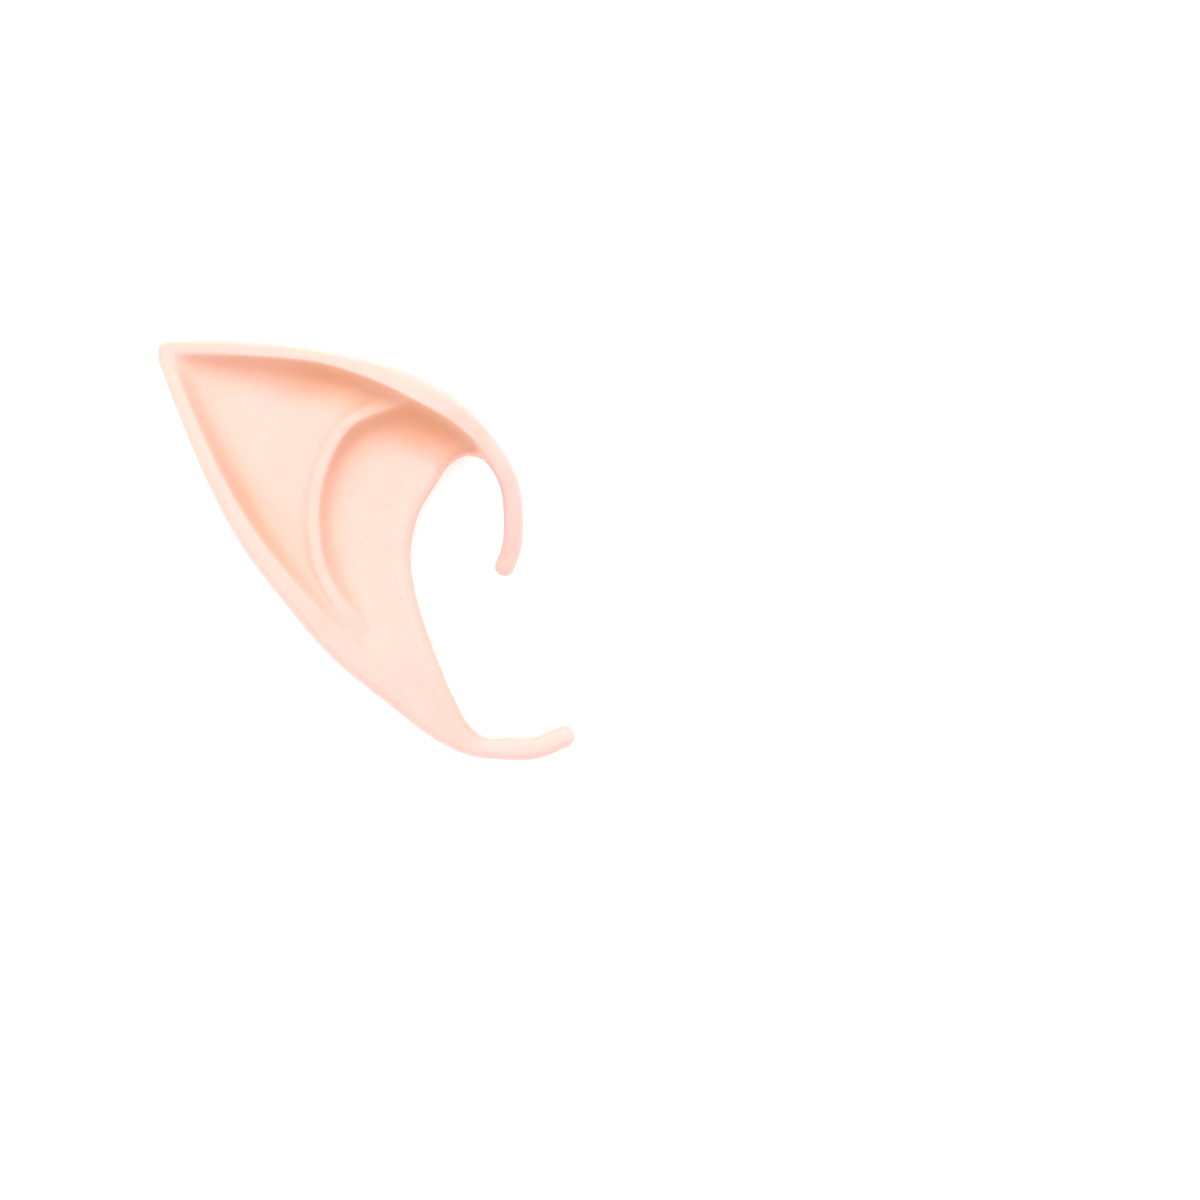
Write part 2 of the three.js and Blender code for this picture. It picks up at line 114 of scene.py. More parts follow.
# Inner edge: across, up; level as a share of the depth, dip as a share of the bowl's dip
CRESCENT = [
    (0.7920, 0.7060, 0.64, 0.4),
    (0.7536, 0.7256, 0.56, 0.8),
    (0.7075, 0.7073, 0.53, 1.0),
    (0.6647, 0.6500, 0.51, 1.0),
    (0.6274, 0.5860, 0.50, 1.0),
    (0.6087, 0.4964, 0.50, 1.0),
    (0.6202, 0.4017, 0.51, 0.9),
    (0.6591, 0.2808, 0.51, 0.4),
    (0.7115, 0.1552, 0.46, 0.3),
    (0.7495, 0.0877, 0.40, 0.1),
    (0.7873, 0.0585, 0.35, 0.0),
]

# Crest of the fold: across, up; rise as a share of the fold's rise
FOLD = [
    (0.5853, 0.8614, 1.00),
    (0.4600, 0.8090, 0.90),
    (0.3990, 0.7180, 0.72),
    (0.3714, 0.5960, 0.62),
    (0.3858, 0.4656, 0.56),
    (0.4315, 0.3756, 0.45),
    (0.4651, 0.3353, 0.30),
    (0.4900, 0.2950, 0.00),
]

# Mesh of the soft skin
CURVE_STEPS = 24
STATIONS = 400
FRONT_POINTS = 112
LIP_POINTS = 7
POCKET_FRONT_POINTS = 22
POCKET_END_POINTS = 3
POCKET_BACK_POINTS = 14
BACK_POINTS = 30
DOME_RINGS = 8
FINE_STEPS = 220
BACK_FINE_STEPS = 60
SECTION_BEND_LENGTH = 1.6
OUTLINE_BEND_LENGTH = 7.0
STATION_LEAN = 0.15
NARROWEST_POCKET = 1.0
POCKET_SCAN_STEPS = 80
POCKET_WINDOW = 4
EVENING_PASSES = 12
GRID_STEP = 0.45
POCKET_CLOSE_TAIL = 0.45
LEAST_POCKET_DEPTH = 0.3
SIDE_CLOSE_DEPTH = 3.0
TAIL_SIDE = 0.15
TINY = 1e-6
LEAST_STEP = 1e-9

# How far round a place its openness is looked for, and the painted shade that comes of it: a deeper
# colour where the front lies closed in, with flat deeper tones over the body, inside and back
SKY_REACH = 9.0
SKY_STEPS = 10
SKY_DIRECTIONS = 16
SKY_OWN_SLOPE = 0.8
PAINTED_SHADE_POWER = 1.05
PAINTED_SHADE_GAIN = 1.65
BODY_TONE_SHARE = 0.08
INSIDE_TONE_SHARE = 0.15
BACK_TONE_SHARE = 0.05

# Painted shade: a slightly deeper tone along the outline and the open edge, where the surface turns
# away from the light
EDGE_SHADE_RUN = 0.9
EDGE_SHADE_WIDTH_SHARE = 0.1
LIP_SHADE_SHARE = 0.35


def ease(share):
    """From 0 to 1, starting and ending gently."""
    share = np.clip(share, 0, 1)
    return share * share * (3 - 2 * share)


def slope(share, shape):
    """From 0 to 1, starting steeply and ending in a long tail."""
    share = np.clip(share, 0, 1)
    return share**2 / (share**2 + shape * (1 - share) ** 2)


def round_edge(share):
    """Height of a round edge, from 1 at the top to 0 at its side."""
    return (1 - share**EDGE_ROUNDNESS) ** (1 / EDGE_ROUNDNESS)


def mix(a, b, share):
    return a + (b - a) * share


def place(rows, *sizes):
    """Rows of shares as rows of x, y and columns in millimetres."""
    points = np.array(rows, dtype=float)
    points[..., 0] = (points[..., 0] - 0.5) * EAR_WIDTH
    points[..., 1] = (points[..., 1] - 0.5) * EAR_HEIGHT
    points[..., 2:] *= sizes
    return points


def smooth_path(points):
    """Centripetal Catmull-Rom curve through the points, carrying their columns along."""
    first = 2 * points[0] - points[1]
    last = 2 * points[-1] - points[-2]
    points = np.vstack([first, points, last])
    path = []
    for i in range(1, len(points) - 2):
        four = points[i - 1 : i + 3]
        chords = np.hypot(*np.diff(four[:, :2], axis=0).T)
        knots = np.concatenate([[0], np.cumsum(np.sqrt(chords))])
        t = np.linspace(knots[1], knots[2], CURVE_STEPS, endpoint=False)[:, None]
        level = list(four)
        for span in (1, 2):
            level = [
                mix(level[j], level[j + 1], (t - knots[j]) / (knots[j + span] - knots[j]))
                for j in range(len(level) - 1)
            ]
        path.append(mix(level[0], level[1], (t - knots[1]) / (knots[2] - knots[1])))
    return np.vstack([*path, points[-2]])


class Path:
    """A fine line in plan with columns, and what lies nearest on it."""

    def __init__(self, points):
        self.points = points
        steps = np.hypot(*np.diff(points[:, :2], axis=0).T)
        self.sums = np.concatenate([[0], np.cumsum(steps)])
        self.length = self.sums[-1]

    def at(self, along):
        """Columns at a running length."""
        columns = [np.interp(along, self.sums, column) for column in self.points.T]
        return np.stack(columns, axis=-1)

    def nearest(self, x, y, long_start=False, long_end=False):
        """Distance, whether the place is left of the path's travel, running length, columns."""
        gap = np.full(x.shape, np.inf)
        left = np.zeros(x.shape, dtype=bool)
        along = np.zeros(x.shape)
        for i in range(len(self.points) - 1):
            ax, ay = self.points[i, :2]
            dx, dy = self.points[i + 1, :2] - self.points[i, :2]
            low = -np.inf if long_start and i == 0 else 0
            high = np.inf if long_end and i == len(self.points) - 2 else 1
            share = ((x - ax) * dx + (y - ay) * dy) / (dx * dx + dy * dy)
            share = np.clip(share, low, high)
            ex = x - ax - share * dx
            ey = y - ay - share * dy
            squared = ex * ex + ey * ey
            near = squared < gap
            gap = np.where(near, squared, gap)
            left = np.where(near, dx * ey - dy * ex > 0, left)
            along = np.where(near, mix(self.sums[i], self.sums[i + 1], share), along)
        return np.sqrt(gap), left, along, self.at(along)


def across_tail(points, indices, width):
    """Points on the inner side of a tail, level with its crest and without a dip."""
    rows = []
    for i in indices:
        before = points[max(i - 1, 0)]
        after = points[min(i + 1, len(points) - 1)]
        dx, dy = (after - before)[:2] / np.hypot(*(after - before)[:2])
        rows.append([points[i, 0] - dy * width, points[i, 1] + dx * width, points[i, 3], 0])
    return np.array(rows)


EDGE_SIZES = (EAR_DEPTH, EAR_DEPTH, RIM_WIDTH)
top_points = place(UPPER_TAIL + TOP_EDGE, *EDGE_SIZES)
left_points = place(LEFT_EDGE + LOWER_TAIL, *EDGE_SIZES)
tip_point = place(TIP_CORNER, *EDGE_SIZES)
top_line = smooth_path(top_points)
left_line = smooth_path(left_points)
round_shares = np.linspace(0, 1, CURVE_STEPS + 1)[1:-1, None]
tip_round = mix(
    mix(top_line[-1], tip_point, round_shares),
    mix(tip_point, left_line[0], round_shares),
    round_shares,
)
upper_rows = range(len(UPPER_TAIL))
lower_rows = range(len(LEFT_EDGE), len(left_points))
inner_points = np.vstack(
    [
        across_tail(top_points, upper_rows, UPPER_TAIL_WIDTH),
        place(CRESCENT, EAR_DEPTH, BOWL_DIP),
        across_tail(left_points, lower_rows, LOWER_TAIL_WIDTH),
    ]
)
outer_path = Path(np.vstack([top_line, tip_round, left_line]))
inner_path = Path(smooth_path(inner_points))
top_wall_path = Path(np.vstack([top_line, tip_point]))
left_wall_path = Path(np.vstack([tip_point, left_line]))
fold_path = Path(smooth_path(place(FOLD, FOLD_RISE)))


def fold_height(x, y):
    """Height of the fold: a ridge, a broad swell outside it and a steep bowl inside."""
    gap, left, _, columns = fold_path.nearest(x, y)
    rise = columns[..., 2]
    bowl = rise * (1 - slope((gap - FOLD_RIDGE_WIDTH) / FOLD_BOWL_RUN, FOLD_BOWL_SHAPE))
    ridge = FOLD_RIDGE * ease(2 * rise / FOLD_RISE)
    swell = (rise - ridge) * (1 - ease(gap / FOLD_SWELL_RUN))
    swell += ridge * np.exp(-((gap / FOLD_RIDGE_WIDTH) ** 2))
    return np.where(left, bowl, swell)


def tail_share(width):
    """1 where the section is as narrow as a tail, 0 in the ear between the tails."""
    return 1 - ease((width - PLAIN_TAIL_WIDTH) / TAIL_BLEND)


def open_share(tail):
    """1 where the ear is hollow behind its inner edge, 0 where a tail closes it."""
    return 1 - ease(tail / POCKET_CLOSE_TAIL)


def heights(x, y):
    """Heights of the front and the back over places of the plan."""
    inner_gap, inner_left, _, inner = inner_path.nearest(x, y)
    outer_gap, outer_left, _, outer = outer_path.nearest(x, y)
    top_gap, _, _, top = top_wall_path.nearest(x, y, long_end=True)
    side_gap, _, _, side = left_wall_path.nearest(x, y, long_start=True)
    from_mouth = np.where(inner_left, 0, inner_gap)
    from_edge = np.where(outer_left, outer_gap, 0)
    edge, crest, rim = outer[..., 2], outer[..., 3], outer[..., 4]
    tail = tail_share(from_edge + from_mouth)

    top_drop = slope((top_gap - top[..., 4] - RIM_LAND) / RIM_WALL_RUN, RIM_WALL_SHAPE)
    side_drop = slope((side_gap - side[..., 4] - RIM_LAND) / RIM_WALL_RUN, RIM_WALL_SHAPE)
    top_hold = 1 - top_drop
    side_hold = 1 - side_drop
    side_share = side_hold / np.maximum(top_hold + side_hold, TINY)
    rim_level = mix(top[..., 3], side[..., 3], side_share)
    dip = inner[..., 3] * ease(from_mouth / BOWL_DIP_RUN)
    floor = inner[..., 2] - dip + fold_height(x, y)
    lip = LIP_DROP * np.clip(1 - from_mouth / LIP_WIDTH, 0, 1) ** 2
    rim_round = round_edge(1 - np.clip(2 * from_edge / rim, 0, 1))
    body_front = mix(edge, mix(rim_level, floor, top_drop * side_drop), rim_round) - lip

    from_tip = np.hypot(x - tip_point[0], y - tip_point[1])
    land = TIP_LIFT * ease(1 - from_tip / TIP_REACH)
    back_round = 1 - np.sqrt(1 - (1 - np.clip(from_edge / BACK_ROLL, 0, 1)) ** 2)
    body_back = mix(land, edge, back_round)

    share = from_edge / np.maximum(from_edge + from_mouth, TINY)
    oval = (crest - edge) * round_edge(np.minimum(np.abs(2 * share - 1), 1))
    return mix(body_front, edge + oval, tail), mix(body_back, edge - oval, tail)


class PlanGrid:
    """Fine grid of the plan: the outside, the hollow one wall inside it and how open it lies."""

    def __init__(self):
        margin = 4 * WALL
        self.left = -EAR_WIDTH / 2 - margin
        self.low = -EAR_HEIGHT / 2 - margin
        across = np.arange(self.left, EAR_WIDTH / 2 + margin, GRID_STEP)
        up = np.arange(self.low, EAR_HEIGHT / 2 + margin, GRID_STEP)
        self.front, self.back = heights(*np.meshgrid(across, up, indexing="ij"))
        self.find_hollow()
        self.find_openness()

    def find_hollow(self):
        """A ball of the wall's size is rolled along under the front and over the back."""
        self.hollow_front = np.full(self.front.shape, np.inf)
        self.hollow_back = np.full(self.back.shape, -np.inf)
        reach = int(WALL / GRID_STEP)
        for i in range(-reach, reach + 1):
            for j in range(-reach, reach + 1):
                flat = math.hypot(i, j) * GRID_STEP
                if flat > WALL:
                    continue
                rise = math.sqrt(WALL**2 - flat**2)
                front = np.roll(self.front, (i, j), (0, 1)) - rise
                back = np.roll(self.back, (i, j), (0, 1)) + rise
                self.hollow_front = np.minimum(self.hollow_front, front)
                self.hollow_back = np.maximum(self.hollow_back, back)

    def find_openness(self):
        """Share of the sky that the front sees above its neighbourhood, 1 where it is all open."""
        across_slope, up_slope = np.gradient(self.front, GRID_STEP)
        total = np.zeros(self.front.shape)
        for turn in np.linspace(0, 2 * np.pi, SKY_DIRECTIONS, endpoint=False):
            own = across_slope * math.cos(turn) + up_slope * math.sin(turn)
            horizon = np.maximum(own * SKY_OWN_SLOPE, 0)
            for reach in np.linspace(SKY_REACH / SKY_STEPS, SKY_REACH, SKY_STEPS):
                i = round(-reach * math.cos(turn) / GRID_STEP)
                j = round(-reach * math.sin(turn) / GRID_STEP)
                run = math.hypot(i, j) * GRID_STEP
                rise = (np.roll(self.front, (i, j), (0, 1)) - self.front) / run
                horizon = np.maximum(horizon, rise - own * (1 - SKY_OWN_SLOPE))
            total += 1 / (1 + horizon**2)
        self.openness = total / SKY_DIRECTIONS

    def at(self, field, x, y):
        """Values of one of the grid's fields at places of the plan."""
        column = (x - self.left) / GRID_STEP
        row = (y - self.low) / GRID_STEP
        i = np.clip(column.astype(int), 0, field.shape[0] - 2)
        j = np.clip(row.astype(int), 0, field.shape[1] - 2)
        lower = mix(field[i, j], field[i + 1, j], column - i)
        upper = mix(field[i, j + 1], field[i + 1, j + 1], column - i)
        return mix(lower, upper, row - j)

    def hollow_front_at(self, x, y):
        return self.at(self.hollow_front, x, y)

    def hollow_back_at(self, x, y):
        return self.at(self.hollow_back, x, y)


def spread(line, count, bend_length):
    """Points along a fine line, closer together where it bends. Works on many lines at once."""
    steps = np.diff(line, axis=-2)
    length = np.linalg.norm(steps, axis=-1)
    heading = steps / np.maximum(length, LEAST_STEP)[..., None]
    turn = np.arccos(np.clip((heading[..., 1:, :] * heading[..., :-1, :]).sum(-1), -1, 1))
    weight = length.copy()
    weight[..., 1:] += bend_length * turn
    sums = np.concatenate([np.zeros_like(weight[..., :1]), np.cumsum(weight, axis=-1)], axis=-1)
    out = np.empty((*line.shape[:-2], count, line.shape[-1]))
    for where in np.ndindex(line.shape[:-2]):
        targets = np.linspace(0, sums[where][-1], count)
        for axis in range(line.shape[-1]):
            out[where][:, axis] = np.interp(targets, sums[where], line[where][:, axis])
    return out


def smooth_along(values, passes):
    """Averages a value over neighbouring stations."""
    for _ in range(passes):
        padded = np.concatenate([values[:1], values, values[-1:]])
        values = (padded[:-2] + 2 * padded[1:-1] + padded[2:]) / 4
    return values


class Stations:
    """Sections across the ear, each from a point of the outer edge to one of the inner edge."""

    def __init__(self):
        outline = spread(outer_path.points[:, :2], STATIONS, OUTLINE_BEND_LENGTH)
        near = inner_path.nearest(outline[:, 0], outline[:, 1])[2]
        even = np.linspace(0, inner_path.length, STATIONS)
        self.outer = outline
        run = inner_path.at(mix(near, even, STATION_LEAN))[:, :2] - outline
        self.width = np.hypot(run[:, 0], run[:, 1])
        self.heading = run / self.width[:, None]
        self.tail = tail_share(self.width)

    def plan(self, reach):
        """Places at a distance from the outer edge, for each station."""
        x = self.outer[:, :1] + self.heading[:, :1] * reach
        y = self.outer[:, 1:] + self.heading[:, 1:] * reach
        return x, y

    def line(self, start, end, steps, surface):
        """Fine line of reach and height over a surface, from one reach to another."""
        turn = (1 - np.cos(np.pi * np.linspace(0, 1, steps + 1))) / 2
        reach = start[:, None] + (end - start)[:, None] * turn
        return np.stack([reach, surface(*self.plan(reach))], axis=-1)


def half_round(start, end, bulge, count):
    """Points of a half oval from one row of points to another, bulging along the section."""
    angles = np.linspace(0, np.pi, count + 2)[1:-1]
    middle = (start + end) / 2
    arm = (start - end) / 2
    points = middle[:, None, :] + arm[:, None, :] * np.cos(angles)[None, :, None]
    points[..., 0] += bulge[:, None] * np.sin(angles)
    return points


def plain_side(start, end, lip, count):
    """Points of a plain closed side with round corners, from the front's end to the back's."""
    corner = np.minimum(lip, (start[:, 1] - end[:, 1]) / 2)
    angles = np.pi / 2 * np.arange(1, LIP_POINTS + 1) / LIP_POINTS
    across = lip[:, None] * np.sin(angles)
    drop = corner[:, None] * (1 - np.cos(angles))
    top = np.stack([start[:, :1] + across, start[:, 1:] - drop], axis=-1)
    bottom = np.stack([end[:, :1] + across, end[:, 1:] + drop], axis=-1)[:, ::-1]
    shares = np.linspace(0, 1, count + 2 - 2 * LIP_POINTS)[1:-1, None]
    return np.concatenate([top, mix(top[:, -1:], bottom[:, :1], shares), bottom], axis=1)


def closed_side(stations, start, end, lip, count):
    """The closed inner side where the hollow ends, oval as a tail is."""
    first = np.arccos(1 - 2 * lip / stations.width)[:, None]
    angle = first * np.linspace(1, -1, count + 2)[None, 1:-1]
    reach = stations.width[:, None] * (1 + np.cos(angle)) / 2
    front, back = heights(*stations.plan(reach))
    oval = np.stack([reach, np.where(angle > 0, front, back)], axis=-1)
    return mix(plain_side(start, end, lip, count), oval, stations.tail[:, None, None])


def pocket_depths(stations, grid):
    """How far the hollow reaches in from the mouth, evened out and closed towards the tails."""
    shares = np.linspace(1, 0, POCKET_SCAN_STEPS + 1)
    reach = stations.width[:, None] * shares
    x, y = stations.plan(reach)
    narrow = grid.hollow_front_at(x, y) - grid.hollow_back_at(x, y) < NARROWEST_POCKET
    first = np.where(narrow.any(axis=1), narrow.argmax(axis=1), POCKET_SCAN_STEPS)
    safe = stations.width * shares[np.maximum(first - 1, 0)]
    padded = np.pad(safe, POCKET_WINDOW, mode="edge")
    shifted = [padded[i : i + len(safe)] for i in range(2 * POCKET_WINDOW + 1)]
    margin = smooth_along(np.max(shifted, axis=0), EVENING_PASSES)
    depth = np.maximum(stations.width - margin, 0)
    return depth * open_share(stations.tail)


def section_loops(stations, grid):
    """Closed loops of reach and height: front, front lip, hollow, back lip and back."""
    lip = np.minimum(WALL / 2, stations.width * TAIL_SIDE)
    zero = np.zeros(STATIONS)
    front_end = stations.width - lip
    depth = pocket_depths(stations, grid)
    hollow = ease((depth - lip) / SIDE_CLOSE_DEPTH)
    setback = np.minimum(MOUTH_SETBACK, MOUTH_SETBACK_SHARE * stations.width)
    back_end = front_end - setback * open_share(stations.tail) * hollow
    pocket_end = np.minimum(stations.width - depth, back_end - LEAST_POCKET_DEPTH)

    def surface(start, end, fine, count, height):
        return spread(stations.line(start, end, fine, height), count, SECTION_BEND_LENGTH)

    front = surface(zero, front_end, FINE_STEPS, FRONT_POINTS, lambda x, y: heights(x, y)[0])
    back = surface(back_end, zero, BACK_FINE_STEPS, BACK_POINTS, lambda x, y: heights(x, y)[1])
    upper = surface(front_end, pocket_end, BACK_FINE_STEPS, POCKET_FRONT_POINTS, grid.hollow_front_at)
    lower = surface(pocket_end, back_end, BACK_FINE_STEPS, POCKET_BACK_POINTS, grid.hollow_back_at)
    end_bulge = -np.minimum(np.abs(upper[:, -1, 1] - lower[:, 0, 1]) / 2, NARROWEST_POCKET / 2)
    inside = np.concatenate(
        [
            half_round(front[:, -1], upper[:, 0], lip, LIP_POINTS),
            upper,
            half_round(upper[:, -1], lower[:, 0], end_bulge, POCKET_END_POINTS),
            lower,
            half_round(lower[:, -1], back[:, 0], lip, LIP_POINTS),
        ],
        axis=1,
    )
    side = closed_side(stations, front[:, -1], back[:, 0], lip, inside.shape[1])
    middle = mix(side, inside, hollow[:, None, None])
    return np.concatenate([front, middle, back[:, :-1]], axis=1)


def dome(loop, neighbour, radius):
    """Round end of a tail: shrinking copies of its last loop and the point they end in."""
    centre = loop.mean(axis=0)
    out = centre - neighbour.mean(axis=0)
    out /= np.linalg.norm(out)
    rings = []
    for ring in range(1, DOME_RINGS + 1):
        angle = math.pi / 2 * ring / (DOME_RINGS + 1)
        rings.append((loop - centre) * math.cos(angle) + centre + out * radius * math.sin(angle))
    return rings, centre + out * radius


def painted_shade_and_tone_shares(grid, stations, loops):
    """How much painted shade and deeper tone each point of the loops takes: painted shade where the
    front lies closed in, flat tones over the body, inside and back.
    """
    x, y = stations.plan(loops[..., 0])
    from_edge = np.clip(loops[..., 0] / RIM_WIDTH, 0, 1)
    inside = ease(from_edge) * (1 - stations.tail[:, None])
    closeness = 1 - grid.at(grid.openness, x, y)
    share = np.minimum(PAINTED_SHADE_GAIN * closeness**PAINTED_SHADE_POWER, 1) * inside
    share = np.maximum(share, BODY_TONE_SHARE * (1 - stations.tail[:, None]))
    share[:, FRONT_POINTS:] = INSIDE_TONE_SHARE
    share[:, -BACK_POINTS:] = BACK_TONE_SHARE
    return share


def painted_edge_shade_shares(stations, loops):
    """Share of painted edge shade: 1 on the outline, less on the lip of the open edge, 0 a short way
    in from them.
    """
    from_edge = loops[..., 0]
    from_lip = stations.width[:, None] - from_edge
    run = np.minimum(EDGE_SHADE_RUN, EDGE_SHADE_WIDTH_SHARE * stations.width)[:, None]
    return 1 - ease(from_edge / run) + LIP_SHADE_SHARE * (1 - ease(from_lip / run))


def add_shares(mesh, name, shares):
    """Writes one value a loop point to the mesh, with the domes taking that of their last loop."""
    first = np.tile(shares[:1], (DOME_RINGS, 1))
    last = np.tile(shares[-1:], (DOME_RINGS, 1))
    values = np.concatenate([np.vstack([first, shares, last]).ravel(), shares[[0, -1], 0]])
    mesh.attributes.new(name, "FLOAT", "POINT").data.foreach_set("value", values)


def skin_mesh():
    """The whole ear as one closed skin, placed over the middle of its solid."""
    stations = Stations()
    grid = PlanGrid()
    loops = section_loops(stations, grid)
    x, y = stations.plan(loops[..., 0])
    rings = list(np.stack([x, y, loops[..., 1]], axis=-1))
    upper_rings, upper_point = dome(rings[0], rings[1], UPPER_TAIL_WIDTH / 2)
    lower_rings, lower_point = dome(rings[-1], rings[-2], LOWER_TAIL_WIDTH / 2)
    rings = [*upper_rings[::-1], *rings, *lower_rings]
    count = rings[0].shape[0]
    points = np.vstack([*rings, upper_point, lower_point])

    low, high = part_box(NODE)
    middle = (points.min(axis=0) + points.max(axis=0)) / 2
    points -= (middle[0], middle[1], points[:, 2].min())
    points *= MM
    points += ((low[0] + high[0]) / 2, (low[1] + high[1]) / 2, low[2])

    row = np.arange(len(rings) - 1)[:, None] * count
    step = np.arange(count)[None, :]
    a = row + step
    b = row + (step + 1) % count
    quads = np.stack([a, a + count, b + count, b], axis=-1).reshape(-1, 4)
    last = (len(rings) - 1) * count
    upper_tip = len(points) - 2
    faces = quads.tolist()
    faces += [(upper_tip, j, (j + 1) % count) for j in range(count)]
    faces += [(upper_tip + 1, last + (j + 1) % count, last + j) for j in range(count)]
    mesh = bpy.data.meshes.new("ear_skin")
    mesh.from_pydata(points.tolist(), [], faces)
    mesh.validate()
    # Painted shade in the hollows, with flat deeper tones elsewhere
    add_shares(mesh, "painted_shade_and_tone_share", painted_shade_and_tone_shares(grid, stations, loops))
    # Painted shade along the outline and the lip of the open edge
    add_shares(mesh, "painted_edge_shade_share", painted_edge_shade_shares(stations, loops))
    mesh.polygons.foreach_set("use_smooth", [True] * len(mesh.polygons))
    mesh.update()
    return mesh


# Latex, in linear colours
PALE = (0.905, 0.612, 0.555)
# Painted shade of the hollows, also laid on evenly as a deeper tone over the body, inside and back
PAINTED_SHADE_AND_TONE = (0.78, 0.28, 0.04)
BLUSH = (0.99, 0.95, 0.94)
# Painted shade along the outline and the lip
PAINTED_EDGE_SHADE = (0.97, 0.935, 0.925)

# Latex's unevenness: sizes in millimetres; spans from low and high of the noise to low and high
MOTTLE_MM = 9.0
MOTTLE_SPAN = (0.35, 0.7, 0.0, 0.5)
GRAIN_MM = 0.45
GRAIN_ROUGHNESS_SPAN = (0.3, 0.7, 0.46, 0.58)
GRAIN_BUMP_MM = 0.012
PORE_MM = 1.6
PORE_BUMP_MM = 0.03


class Shading:
    """Short calls for building a material's nodes."""

    def __init__(self, name):
        self.material = bpy.data.materials.new(name)
        self.material.use_nodes = True
        self.nodes = self.material.node_tree.nodes
        self.links = self.material.node_tree.links
        self.shader = self.nodes["Principled BSDF"]
        self.place = self.nodes.new("ShaderNodeTexCoord").outputs["Object"]

    def link(self, source, target):
        self.links.new(source, target)

    def attribute(self, name):
        node = self.nodes.new("ShaderNodeAttribute")
        node.attribute_name = name
        return node.outputs["Fac"]

    def noise(self, size_mm, detail=2.0):
        node = self.nodes.new("ShaderNodeTexNoise")
        node.inputs["Scale"].default_value = 1 / (size_mm * MM)
        node.inputs["Detail"].default_value = detail
        self.link(self.place, node.inputs["Vector"])
        return node.outputs["Fac"]

    def span(self, value, low, high, to_low, to_high):
        node = self.nodes.new("ShaderNodeMapRange")
        self.link(value, node.inputs["Value"])
        for name, number in (
            ("From Min", low),
            ("From Max", high),
            ("To Min", to_low),
            ("To Max", to_high),
        ):
            node.inputs[name].default_value = number
        return node.outputs["Result"]

    def colour_mix(self, share, first, second, blend="MIX"):
        node = self.nodes.new("ShaderNodeMix")
        node.data_type = "RGBA"
        node.blend_type = blend
        self.link(share, node.inputs["Factor"])
        for name, value in (("A", first), ("B", second)):
            socket = next(s for s in node.inputs if s.name == name and s.type == "RGBA")
            if isinstance(value, tuple):
                socket.default_value = (*value, 1)
            else:
                self.link(value, socket)
        return next(s for s in node.outputs if s.type == "RGBA")

    def bump(self, height, distance_mm, before=None):
        node = self.nodes.new("ShaderNodeBump")
        node.inputs["Distance"].default_value = distance_mm * MM
        self.link(height, node.inputs["Height"])
        if before is not None:
            self.link(before, node.inputs["Normal"])
        return node.outputs["Normal"]


def latex():
    """Soft, pale, slightly see-through latex, with painted shade in the hollows and along the edges
    and a faint grain.
    """
    shading = Shading("latex")
    shader = shading.shader
    mottle = shading.span(shading.noise(MOTTLE_MM, 3), *MOTTLE_SPAN)
    # Painted shade: the colour turns deeper and more orange where the front lies closed in
    shade_and_tone_share = shading.attribute("painted_shade_and_tone_share")
    colour = shading.colour_mix(shade_and_tone_share, PALE, PAINTED_SHADE_AND_TONE)
    colour = shading.colour_mix(mottle, colour, BLUSH, "MULTIPLY")
    # Painted shade along the outline and the lip of the open edge
    colour = shading.colour_mix(shading.attribute("painted_edge_shade_share"), colour, PAINTED_EDGE_SHADE, "MULTIPLY")
    shading.link(colour, shader.inputs["Base Color"])

    grain = shading.noise(GRAIN_MM)
    shading.link(shading.span(grain, *GRAIN_ROUGHNESS_SPAN), shader.inputs["Roughness"])
    relief = shading.bump(shading.noise(PORE_MM, 3), PORE_BUMP_MM)
    relief = shading.bump(grain, GRAIN_BUMP_MM, relief)
    shading.link(relief, shader.inputs["Normal"])

    shader.inputs["IOR"].default_value = 1.42
    shader.inputs["Subsurface Weight"].default_value = 0.7
    shader.inputs["Subsurface Radius"].default_value = (1.0, 0.35, 0.2)
    shader.inputs["Subsurface Scale"].default_value = 0.0016
    shader.inputs["Sheen Weight"].default_value = 0.1
    shader.inputs["Sheen Roughness"].default_value = 0.5
    return shading.material


def add_ear():
    mesh = skin_mesh()
    ear = bpy.data.objects.new("ear_skin", mesh)
    bpy.context.collection.objects.link(ear)
    mesh.materials.append(latex())
    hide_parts(NODE)
    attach(ear, "root")


# Floor, lights and world, in metres and watts
FLOOR_HALF = 3.0
FLOOR_GLOW = 0.37
WORLD_STRENGTH = 0.76
KEY_LIGHT = ("key", (-0.2, 0.78, 0.95), 0.6, 6.3)
TOP_LIGHT = ("top", (0.05, 0.1, 1.6), 1.2, 10)


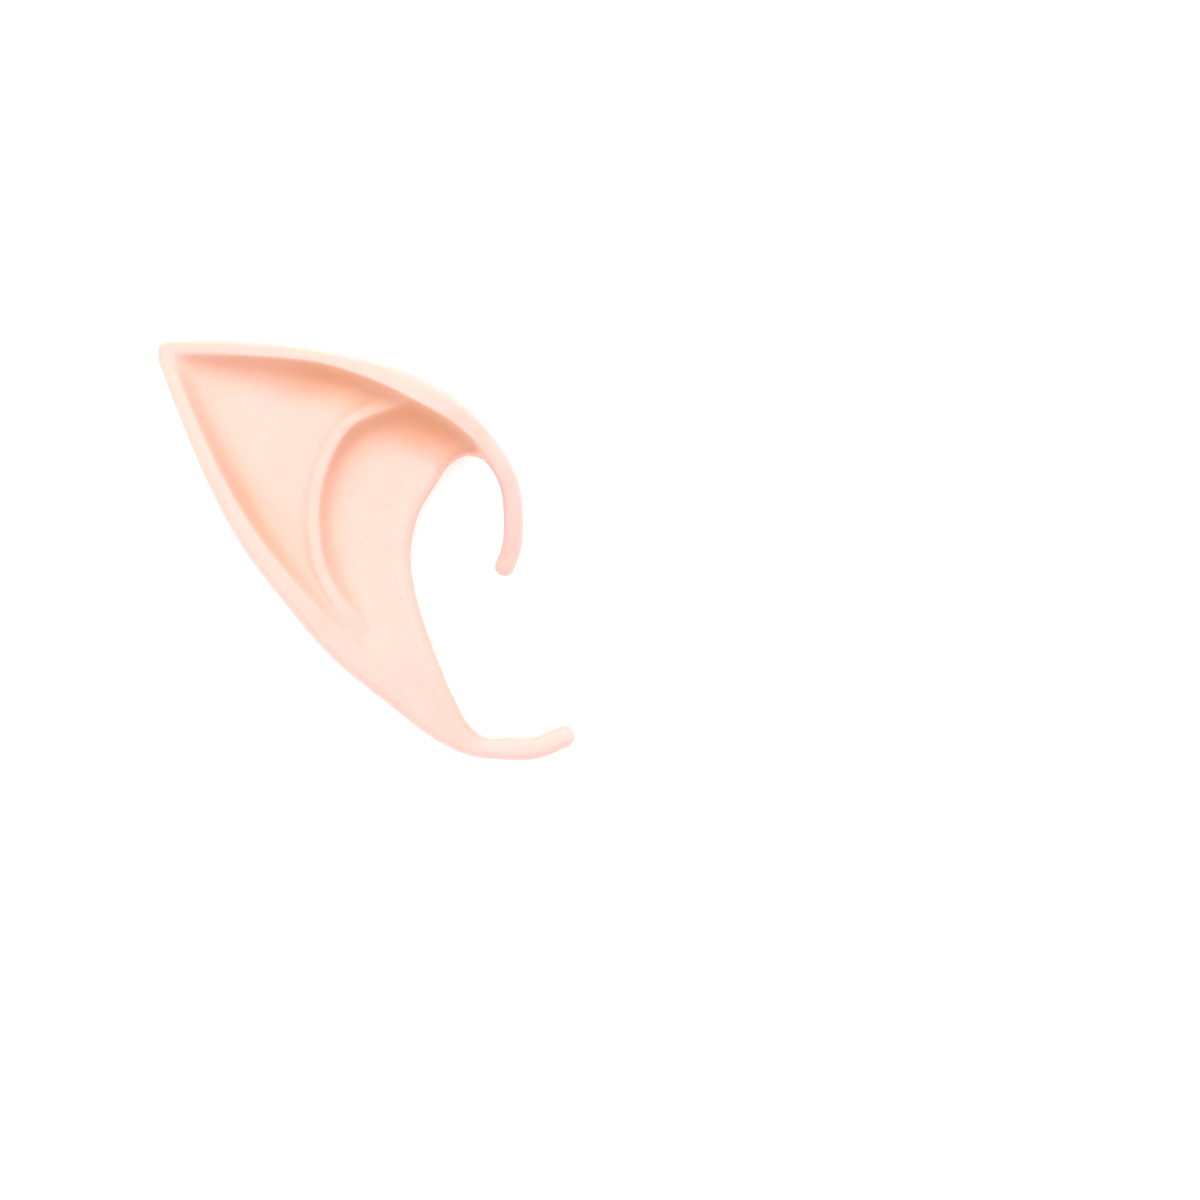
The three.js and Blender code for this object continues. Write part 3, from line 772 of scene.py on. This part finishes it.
def add_floor():
    mesh = bpy.data.meshes.new("floor")
    half = FLOOR_HALF
    corners = [(-half, -half, 0), (half, -half, 0), (half, half, 0), (-half, half, 0)]
    mesh.from_pydata(corners, [], [(0, 1, 2, 3)])
    floor = bpy.data.objects.new("floor", mesh)
    bpy.context.collection.objects.link(floor)
    material = bpy.data.materials.new("floor_white")
    material.use_nodes = True
    shader = material.node_tree.nodes["Principled BSDF"]
    shader.inputs["Base Color"].default_value = (0.9, 0.9, 0.9, 1)
    shader.inputs["Roughness"].default_value = 0.9
    shader.inputs["Emission Color"].default_value = (1, 1, 1, 1)
    shader.inputs["Emission Strength"].default_value = FLOOR_GLOW
    mesh.materials.append(material)


def add_light(name, place_at, size, watts):
    data = bpy.data.lights.new(name, "AREA")
    data.shape = "DISK"
    data.size = size
    data.energy = watts
    light = bpy.data.objects.new(name, data)
    light.location = place_at
    light.rotation_mode = "QUATERNION"
    light.rotation_quaternion = (-Vector(place_at)).to_track_quat("-Z", "Y")
    bpy.context.collection.objects.link(light)


def add_lights():
    add_light(*KEY_LIGHT)
    add_light(*TOP_LIGHT)
    world = bpy.data.worlds.new("studio")
    world.use_nodes = True
    background = world.node_tree.nodes["Background"]
    background.inputs["Color"].default_value = (1, 1, 1, 1)
    background.inputs["Strength"].default_value = WORLD_STRENGTH
    bpy.context.scene.world = world


# The photo looks straight down. One pixel of its 1200 is 0.21 mm at the ear.
PHOTO_PIXELS = 1200
PHOTO_PIXEL_MM = 0.21
EAR_MIDDLE_PIXEL = (366.5, 550.5)
EAR_MIDDLE_HEIGHT_MM = 8.0
LENS_MM = 200.0
SENSOR_MM = 36.0


def add_camera():
    data = bpy.data.cameras.new("camera")
    data.lens = LENS_MM
    data.sensor_width = SENSOR_MM
    data.clip_end = 20
    camera = bpy.data.objects.new("camera", data)
    across = (PHOTO_PIXELS / 2 - EAR_MIDDLE_PIXEL[0]) * PHOTO_PIXEL_MM
    up = (EAR_MIDDLE_PIXEL[1] - PHOTO_PIXELS / 2) * PHOTO_PIXEL_MM
    distance = PHOTO_PIXELS * PHOTO_PIXEL_MM * LENS_MM / SENSOR_MM
    camera.location = (across * MM, up * MM, (EAR_MIDDLE_HEIGHT_MM + distance) * MM)
    bpy.context.collection.objects.link(camera)
    bpy.context.scene.camera = camera


add_camera()
add_ear()
add_floor()
add_lights()
bpy.context.scene.view_settings.view_transform = "Standard"
